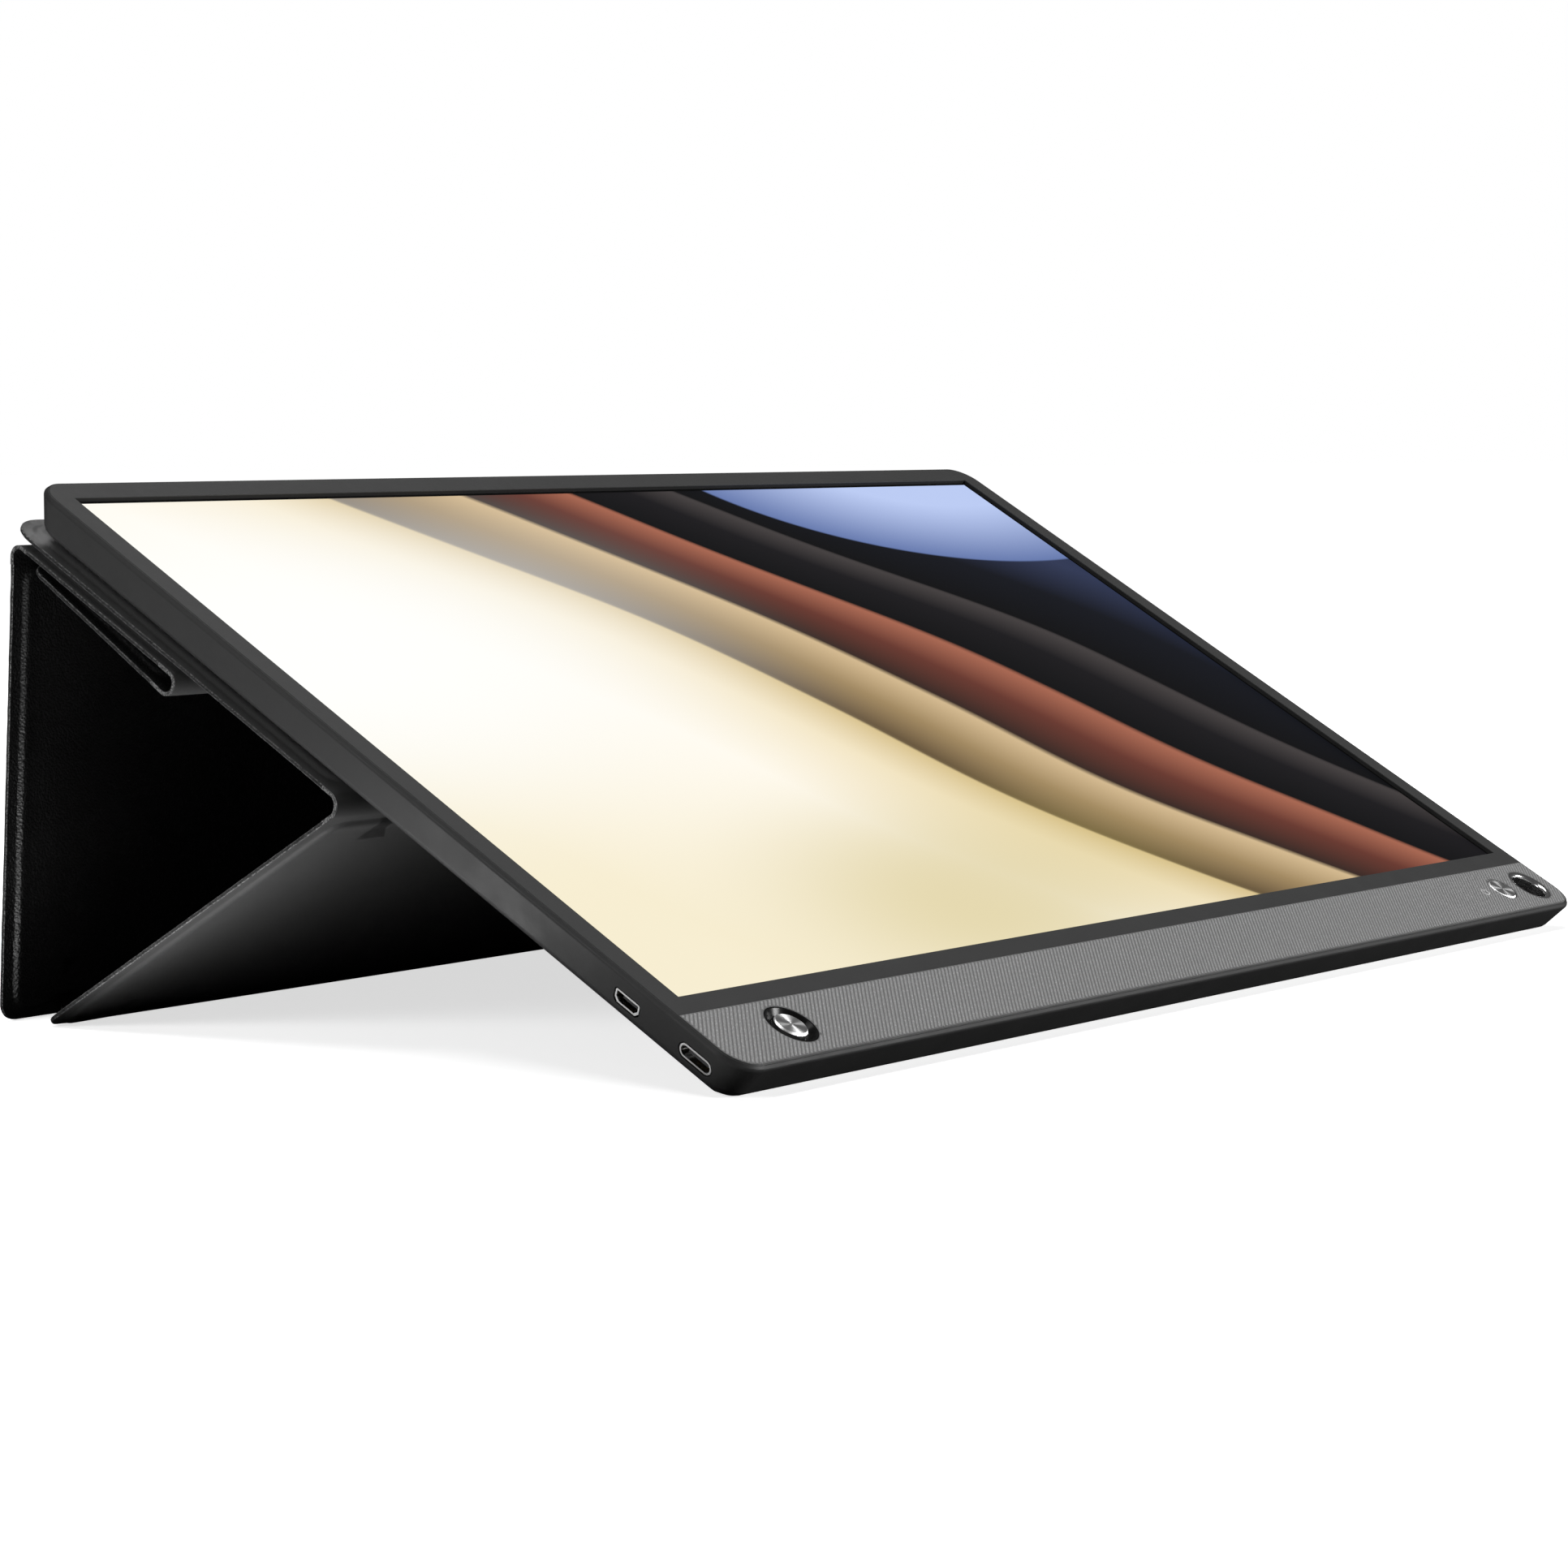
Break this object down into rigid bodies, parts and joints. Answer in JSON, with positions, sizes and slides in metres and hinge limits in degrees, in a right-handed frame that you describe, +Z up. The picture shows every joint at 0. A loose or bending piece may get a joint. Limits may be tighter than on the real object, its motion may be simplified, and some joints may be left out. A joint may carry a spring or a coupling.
{
  "type": "portable monitor",
  "caption": "Slim portable monitor with a thin dark bezel and ribbed chin, propped at a low slant by a folding leather case that forms a triangular stand.",
  "frame": {"origin": "on the floor, in the middle of the standing monitor's footprint", "axes": "+X to the viewer's right across the screen, +Y from the chin towards the prop, +Z up"},
  "size_m": [0.3598, 0.2132, 0.121],
  "materials": {
    "bezel_plastic": "fine satin moulding",
    "cover_plastic": "fine matte moulding",
    "trim_plastic": "ribbed, woven look",
    "screen_glass": "matte anti-glare, lit",
    "clear_film": "clear",
    "white_film": "white",
    "tray_steel": "pressed sheet",
    "circuit_board": "solder mask",
    "chip_black": "moulded black",
    "cable_film": "amber film",
    "battery_foil": "foil pouch",
    "port_steel": "bright shell",
    "well_plastic": "gloss black",
    "button_metal": "spun",
    "bright_chrome": "polished",
    "screw_steel": "dark",
    "magnet_plating": "plated",
    "case_leather": "fine grain",
    "case_lining": "smooth microfibre",
    "case_board": "grey fibreboard"
  },
  "bodies": {
    "monitor": {"front_bezel": "bezel_plastic", "rear_cover": "cover_plastic", "chin_trim": "trim_plastic", "lcd_glass": "screen_glass", "optical_sheets": "clear_film", "light_guide": "clear_film", "led_strip": "circuit_board", "reflector_sheet": "white_film", "panel_tray": "tray_steel", "main_board": "circuit_board", "power_board": "circuit_board", "panel_driver_board": "circuit_board", "board_chips": "chip_black", "display_cable": "cable_film", "board_link_cable": "cable_film", "battery_cells": "battery_foil", "power_port": "port_steel", "video_port": "port_steel", "power_port_tongue": "chip_black", "video_port_tongue": "chip_black", "menu_button_well": "well_plastic", "menu_switch": "chip_black", "power_switch": "chip_black", "power_light_pipe": "clear_film", "pen_hole_sleeve": "bright_chrome", "board_screws": "screw_steel", "cover_screws": "screw_steel", "dock_magnets": "magnet_plating", "back_panel_magnets": "magnet_plating", "back_panel_leather": "case_leather", "back_panel_lining": "case_lining", "back_panel_board": "case_board", "apex_fold": "case_leather"},
    "leg": {"leg_panel_leather": "case_leather", "leg_panel_lining": "case_lining", "leg_panel_board": "case_board", "spine_front_fold": "case_leather"},
    "spine": {"spine_leather": "case_leather", "spine_lining": "case_lining", "spine_rear_fold": "case_leather"},
    "prop": {"prop_panel_leather": "case_leather", "prop_panel_lining": "case_lining", "prop_panel_board": "case_board", "top_fold": "case_leather"},
    "flap": {"flap_panel_leather": "case_leather", "flap_panel_lining": "case_lining", "flap_panel_board": "case_board", "flap_panel_magnets": "magnet_plating", "tuck_fold": "case_leather"},
    "tuck": {"tuck_panel_leather": "case_leather", "tuck_panel_lining": "case_lining", "tuck_panel_board": "case_board"},
    "menu_button": {"menu_button_cap": "button_metal", "menu_switch_plunger": "chip_black"},
    "power_button": {"power_button_cap": "button_metal", "power_switch_plunger": "chip_black"}
  },
  "joints": [
    {"name": "apex_hinge", "type": "hinge", "parent": "monitor", "child": "leg", "pos_m": [0, 0.00451, 0.05345], "axis": [1, 0, 0], "range_deg": [-117, 0], "deforming": ["apex_fold"]},
    {"name": "spine_front_hinge", "type": "hinge", "parent": "leg", "child": "spine", "pos_m": [0, 0.09266, 0.00245], "axis": [1, 0, 0], "range_deg": [-28.88, 0], "deforming": ["spine_front_fold"]},
    {"name": "spine_rear_hinge", "type": "hinge", "parent": "spine", "child": "prop", "pos_m": [0, 0.10396, 0.00245], "axis": [1, 0, 0], "range_deg": [-91.86, 0], "deforming": ["spine_rear_fold"]},
    {"name": "top_hinge", "type": "hinge", "parent": "prop", "child": "flap", "pos_m": [0, 0.09643, 0.10506], "axis": [1, 0, 0], "range_deg": [-113.32, 0], "deforming": ["top_fold"]},
    {"name": "tuck_hinge", "type": "hinge", "parent": "flap", "child": "tuck", "pos_m": [0, 0.05116, 0.07798], "axis": [1, 0, 0], "range_deg": [-178.44, 0], "deforming": ["tuck_fold"]},
    {"name": "menu_button_press", "type": "slide", "parent": "monitor", "child": "menu_button", "axis": [0, 0.506, -0.8625], "range_m": [0, 0.0005], "stiffness_N_per_m": 800, "springref_m": -0.0005},
    {"name": "power_button_press", "type": "slide", "parent": "monitor", "child": "power_button", "axis": [0, 0.506, -0.8625], "range_m": [0, 0.0005], "stiffness_N_per_m": 800, "springref_m": -0.0005}
  ],
  "couplings": [
    {"joint": "spine_front_hinge", "follows": "apex_hinge", "ratio": 0.24667},
    {"joint": "spine_rear_hinge", "follows": "apex_hinge", "ratio": 0.78499},
    {"joint": "top_hinge", "follows": "apex_hinge", "ratio": 0.96834},
    {"joint": "tuck_hinge", "follows": "apex_hinge", "ratio": 1.525}
  ]
}
